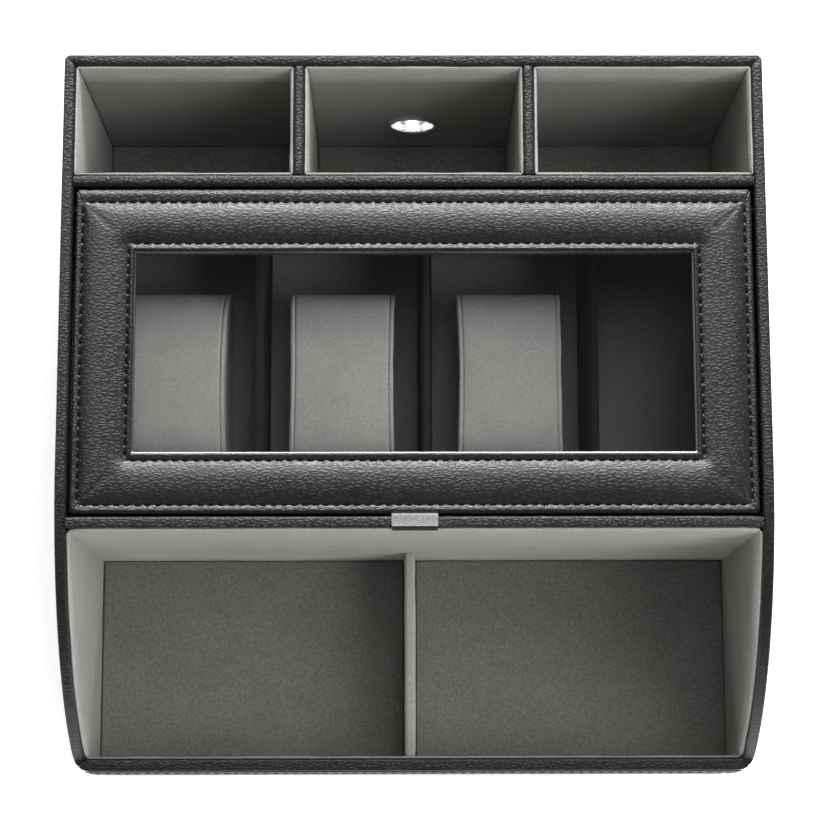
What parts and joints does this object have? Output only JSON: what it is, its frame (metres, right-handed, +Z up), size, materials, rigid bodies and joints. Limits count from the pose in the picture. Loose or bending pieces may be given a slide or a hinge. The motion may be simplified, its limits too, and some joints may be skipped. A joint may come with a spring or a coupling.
{
  "type": "charging valet",
  "caption": "Low leather-wrapped desk valet: open bays with a cable eyelet at the back, a hinged glazed lid over a cushioned watch section, and an open divided tray with falling sides.",
  "frame": {"origin": "under the middle of the whole box, on the table", "axes": "+Z up, +Y towards the bays at the back, +X to the right seen from the front tray"},
  "size_m": [0.2794, 0.2852, 0.1161],
  "materials": {
    "leather": "pebbled charcoal faux leather, satin",
    "suede": "light grey suede cloth, matte",
    "suede_floor": "mid grey suede cloth, matte",
    "dark_suede": "charcoal suede cloth, matte",
    "cushion": "mid grey suede cloth over padding",
    "felt": "black felt",
    "board": "bare fibreboard",
    "glass": "clear polished glass",
    "chrome": "polished chrome",
    "bead": "satin aluminium",
    "silver_leather": "silver grey faux leather",
    "steel": "plain steel",
    "brass": "plain brass"
  },
  "bodies": {
    "case": {"base_felt": "felt", "base_panel": "board", "left_side_panel": "leather", "right_side_panel": "leather", "back_panel": "leather", "front_panel": "leather", "front_pad": "leather", "rear_rail": "leather", "front_rail": "leather", "left_bay_divider": "leather", "right_bay_divider": "leather", "left_bay_floor": "suede_floor", "left_bay_back_lining": "suede", "left_bay_front_lining": "suede", "left_bay_left_lining": "suede", "left_bay_right_lining": "suede", "middle_bay_floor": "suede_floor", "middle_bay_back_lining": "suede", "middle_bay_front_lining": "suede", "middle_bay_left_lining": "suede", "middle_bay_right_lining": "suede", "right_bay_floor": "suede_floor", "right_bay_back_lining": "suede", "right_bay_front_lining": "suede", "right_bay_left_lining": "suede", "right_bay_right_lining": "suede", "cable_eyelet": "chrome", "eyelet_washer": "chrome", "tray_left_floor": "suede_floor", "tray_right_floor": "suede_floor", "tray_back_lining": "suede", "tray_front_lining": "suede", "tray_left_lining": "suede", "tray_right_lining": "suede", "tray_divider": "suede", "watch_floor": "dark_suede", "watch_back_lining": "dark_suede", "watch_front_lining": "dark_suede", "watch_left_lining": "dark_suede", "watch_right_lining": "dark_suede", "left_watch_divider": "dark_suede", "middle_watch_divider": "dark_suede", "right_watch_divider": "dark_suede", "lid_rest": "dark_suede", "left_pivot_bush": "brass", "right_pivot_bush": "brass"},
    "lid": {"lid_frame": "board", "lid_cover": "leather", "lid_glass": "glass", "window_bead": "bead", "lid_lining": "dark_suede", "pull_tab": "silver_leather", "left_pivot_pin": "steel", "right_pivot_pin": "steel"},
    "left_cushion": {"left_watch_cushion": "cushion"},
    "middle_cushion": {"middle_watch_cushion": "cushion"},
    "right_cushion": {"right_watch_cushion": "cushion"}
  },
  "joints": [
    {"name": "lid_hinge", "type": "hinge", "parent": "case", "child": "lid", "pos_m": [0, 0.07795, 0.10825], "axis": [-1, 0, 0], "range_deg": [0, 105]},
    {"name": "left_cushion_lift", "type": "slide", "parent": "case", "child": "left_cushion", "axis": [0, 0, 1], "range_m": [0, 0.045]},
    {"name": "middle_cushion_lift", "type": "slide", "parent": "case", "child": "middle_cushion", "axis": [0, 0, 1], "range_m": [0, 0.045]},
    {"name": "right_cushion_lift", "type": "slide", "parent": "case", "child": "right_cushion", "axis": [0, 0, 1], "range_m": [0, 0.045]}
  ]
}
